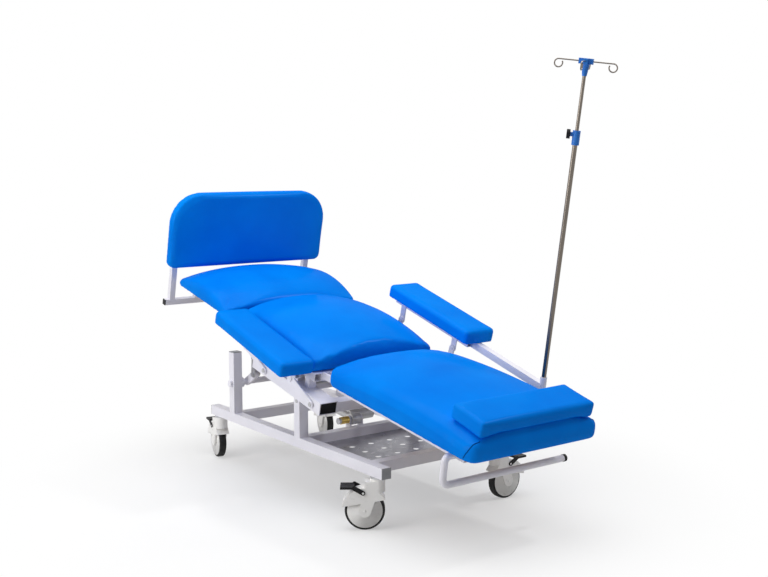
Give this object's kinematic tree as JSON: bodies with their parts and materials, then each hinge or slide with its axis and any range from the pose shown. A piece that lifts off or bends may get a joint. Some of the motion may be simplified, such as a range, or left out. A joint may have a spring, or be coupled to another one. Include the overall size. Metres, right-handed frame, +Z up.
{
  "type": "hemodialysis chair",
  "caption": "Tilting treatment couch-chair on casters with padded seat, back and leg sections, foot board, swing armrests, drip pole and paper-roll bar.",
  "frame": {"origin": "floor level, under the middle of the whole chair's box", "axes": "+Z up, +Y toward the head end, +X toward the sitter's left"},
  "size_m": [0.9282, 2.0414, 1.6789],
  "materials": {
    "frame_paint": "pale grey-violet powder coat",
    "tray_sheet": "sheet metal",
    "grey_cap": "moulded",
    "black_plastic": "moulded",
    "zinc_steel": "zinc plated",
    "brass": "turned",
    "motor_alloy": "cast",
    "rod_steel": "polished",
    "plywood": "plain",
    "upholstery": "smooth synthetic leather",
    "pole_steel": "polished stainless",
    "blue_plastic": "moulded",
    "caster_white": "moulded",
    "caster_wheel": "tyre on a pale wheel"
  },
  "bodies": {
    "base": {"base_rails": "frame_paint", "base_cross_tubes": "frame_paint", "base_posts": "frame_paint", "base_caps": "grey_cap", "tray": "tray_sheet", "base_pins": "zinc_steel", "actuator_bush": "brass", "tilt_actuator": "motor_alloy"},
    "tilt_shaft": {"tilt_lever_shaft": "frame_paint"},
    "tilt_link": {"tilt_links": "zinc_steel"},
    "tilt_rod": {"tilt_rod": "rod_steel"},
    "seat": {"seat_beams": "frame_paint", "beam_caps": "black_plastic", "seat_subframe": "frame_paint", "seat_pins": "zinc_steel", "seat_board": "plywood", "seat_pad": "upholstery", "seat_actuators": "motor_alloy"},
    "back": {"back_frame": "frame_paint", "back_board": "plywood", "back_pad": "upholstery", "head_cushion": "upholstery", "roll_bar": "frame_paint", "roll_bar_cap": "black_plastic"},
    "back_rod": {"back_rod": "rod_steel"},
    "leg": {"leg_frame": "frame_paint", "leg_board": "plywood", "leg_pad": "upholstery"},
    "leg_rod": {"leg_rod": "rod_steel"},
    "foot": {"foot_frame": "frame_paint", "foot_caps": "black_plastic", "foot_pad": "upholstery"},
    "arm_front_left": {"armrest_front_link_left": "frame_paint"},
    "arm_rear_left": {"armrest_rear_link_left": "frame_paint"},
    "arm_left": {"armrest_carrier_left": "frame_paint", "armrest_pad_left": "upholstery"},
    "arm_front_right": {"armrest_front_link_right": "frame_paint"},
    "arm_rear_right": {"armrest_rear_link_right": "frame_paint"},
    "arm_right": {"armrest_carrier_right": "frame_paint", "armrest_pad_right": "upholstery", "pole_arm": "frame_paint", "pole_lower": "pole_steel", "pole_collar": "blue_plastic"},
    "pole_knob": {"pole_knob": "black_plastic"},
    "pole_top": {"pole_upper": "pole_steel", "pole_hub": "blue_plastic", "pole_hooks": "pole_steel"},
    "caster_near_left": {"caster_housing_near_left": "caster_white"},
    "wheel_near_left": {"caster_wheel_near_left": "caster_wheel"},
    "pedal_near_left": {"caster_pedal_near_left": "black_plastic"},
    "caster_far_left": {"caster_housing_far_left": "caster_white"},
    "wheel_far_left": {"caster_wheel_far_left": "caster_wheel"},
    "pedal_far_left": {"caster_pedal_far_left": "black_plastic"},
    "caster_near_right": {"caster_housing_near_right": "caster_white"},
    "wheel_near_right": {"caster_wheel_near_right": "caster_wheel"},
    "pedal_near_right": {"caster_pedal_near_right": "black_plastic"},
    "caster_far_right": {"caster_housing_far_right": "caster_white"},
    "wheel_far_right": {"caster_wheel_far_right": "caster_wheel"},
    "pedal_far_right": {"caster_pedal_far_right": "black_plastic"}
  },
  "joints": [
    {"name": "seat_tilt", "type": "hinge", "parent": "base", "child": "seat", "pos_m": [0.01007, -0.01297, 0.38], "axis": [1, 0, 0], "range_deg": [0, 6.4]},
    {"name": "lever_turn", "type": "hinge", "parent": "base", "child": "tilt_shaft", "pos_m": [0.01007, -0.53147, 0.364], "axis": [1, 0, 0], "range_deg": [-37.35, 0.5]},
    {"name": "link_turn", "type": "hinge", "parent": "tilt_shaft", "child": "tilt_link", "pos_m": [0.01007, -0.4634, 0.40604], "axis": [1, 0, 0], "range_deg": [-0.5, 52.75]},
    {"name": "tilt_rod_slide", "type": "slide", "parent": "base", "child": "tilt_rod", "axis": [0, -0.9947, 0.1028], "range_m": [-0.001, 0.039]},
    {"name": "back_raise", "type": "hinge", "parent": "seat", "child": "back", "pos_m": [0.01007, 0.16257, 0.4867], "axis": [1, 0, 0], "range_deg": [0, 60]},
    {"name": "back_rod_slide", "type": "slide", "parent": "seat", "child": "back_rod", "axis": [0, 0.9751, -0.2215], "range_m": [-0.001, 0.056]},
    {"name": "leg_lower", "type": "hinge", "parent": "seat", "child": "leg", "pos_m": [0.01007, -0.50762, 0.62871], "axis": [1, 0, 0], "range_deg": [0, 55]},
    {"name": "leg_rod_slide", "type": "slide", "parent": "seat", "child": "leg_rod", "axis": [0, 0.9751, -0.2215], "range_m": [-0.001, 0.051]},
    {"name": "foot_slide", "type": "slide", "parent": "leg", "child": "foot", "axis": [0, -0.9751, 0.2215], "range_m": [0, 0.1]},
    {"name": "arm_swing_left", "type": "hinge", "parent": "seat", "child": "arm_front_left", "pos_m": [0.34207, -0.21485, 0.47297], "axis": [1, 0, 0], "range_deg": [-76.1, 0]},
    {"name": "arm_level_left", "type": "hinge", "parent": "arm_front_left", "child": "arm_left", "pos_m": [0.34207, -0.35299, 0.5537], "axis": [1, 0, 0], "range_deg": [0, 76.1]},
    {"name": "arm_follow_left", "type": "hinge", "parent": "seat", "child": "arm_rear_left", "pos_m": [0.34207, 0.12646, 0.39543], "axis": [1, 0, 0], "range_deg": [-76.1, 0]},
    {"name": "arm_swing_right", "type": "hinge", "parent": "seat", "child": "arm_front_right", "pos_m": [-0.32193, -0.21485, 0.47297], "axis": [1, 0, 0], "range_deg": [0, 76.1]},
    {"name": "arm_level_right", "type": "hinge", "parent": "arm_front_right", "child": "arm_right", "pos_m": [-0.32193, -0.16967, 0.62647], "axis": [1, 0, 0], "range_deg": [-76.1, 0]},
    {"name": "arm_follow_right", "type": "hinge", "parent": "seat", "child": "arm_rear_right", "pos_m": [-0.32193, 0.12646, 0.39543], "axis": [1, 0, 0], "range_deg": [0, 76.1]},
    {"name": "pole_slide", "type": "slide", "parent": "arm_right", "child": "pole_top", "axis": [0, 0.1535, 0.9881], "range_m": [-0.14, 0.22]},
    {"name": "knob_turn", "type": "hinge", "parent": "arm_right", "child": "pole_knob", "pos_m": [-0.37023, 0.79283, 1.40763], "axis": [0.7071, -0.6987, 0.1085], "continuous": true},
    {"name": "swivel_near_left", "type": "hinge", "parent": "base", "child": "caster_near_left", "pos_m": [0.29607, 0.49253, 0.18], "axis": [0, 0, 1], "continuous": true},
    {"name": "roll_near_left", "type": "hinge", "parent": "caster_near_left", "child": "wheel_near_left", "pos_m": [0.33286, 0.46492, 0.0725], "axis": [-0.6003, -0.7998, 0], "continuous": true},
    {"name": "brake_near_left", "type": "hinge", "parent": "caster_near_left", "child": "pedal_near_left", "pos_m": [0.33765, 0.46131, 0.14], "axis": [-0.6003, -0.7998, 0], "range_deg": [-10, 0]},
    {"name": "swivel_far_left", "type": "hinge", "parent": "base", "child": "caster_far_left", "pos_m": [0.29607, -0.66747, 0.18], "axis": [0, 0, 1], "continuous": true},
    {"name": "roll_far_left", "type": "hinge", "parent": "caster_far_left", "child": "wheel_far_left", "pos_m": [0.28638, -0.71244, 0.0725], "axis": [-0.9776, 0.2106, 0], "continuous": true},
    {"name": "brake_far_left", "type": "hinge", "parent": "caster_far_left", "child": "pedal_far_left", "pos_m": [0.28512, -0.7183, 0.14], "axis": [-0.9776, 0.2106, 0], "range_deg": [-10, 0]},
    {"name": "swivel_near_right", "type": "hinge", "parent": "base", "child": "caster_near_right", "pos_m": [-0.27593, 0.49253, 0.18], "axis": [0, 0, 1], "continuous": true},
    {"name": "roll_near_right", "type": "hinge", "parent": "caster_near_right", "child": "wheel_near_right", "pos_m": [-0.32193, 0.49253, 0.0725], "axis": [0, 1, 0], "continuous": true},
    {"name": "brake_near_right", "type": "hinge", "parent": "caster_near_right", "child": "pedal_near_right", "pos_m": [-0.32793, 0.49253, 0.14], "axis": [0, 1, 0], "range_deg": [-10, 0]},
    {"name": "swivel_far_right", "type": "hinge", "parent": "base", "child": "caster_far_right", "pos_m": [-0.27593, -0.66747, 0.18], "axis": [0, 0, 1], "continuous": true},
    {"name": "roll_far_right", "type": "hinge", "parent": "caster_far_right", "child": "wheel_far_right", "pos_m": [-0.28562, -0.71244, 0.0725], "axis": [-0.9776, 0.2106, 0], "continuous": true},
    {"name": "brake_far_right", "type": "hinge", "parent": "caster_far_right", "child": "pedal_far_right", "pos_m": [-0.28688, -0.7183, 0.14], "axis": [-0.9776, 0.2106, 0], "range_deg": [-10, 0]}
  ],
  "couplings": [
    {"joint": "lever_turn", "follows": "seat_tilt", "ratio": -5.7584},
    {"joint": "link_turn", "follows": "seat_tilt", "ratio": 8.164},
    {"joint": "tilt_rod_slide", "follows": "seat_tilt", "m_per_rad": 0.34019},
    {"joint": "back_rod_slide", "follows": "back_raise", "m_per_rad": 0.052521},
    {"joint": "leg_rod_slide", "follows": "leg_lower", "m_per_rad": 0.047746},
    {"joint": "arm_level_left", "follows": "arm_swing_left", "ratio": -1},
    {"joint": "arm_follow_left", "follows": "arm_swing_left", "ratio": 1},
    {"joint": "arm_level_right", "follows": "arm_swing_right", "ratio": -1},
    {"joint": "arm_follow_right", "follows": "arm_swing_right", "ratio": 1}
  ]
}
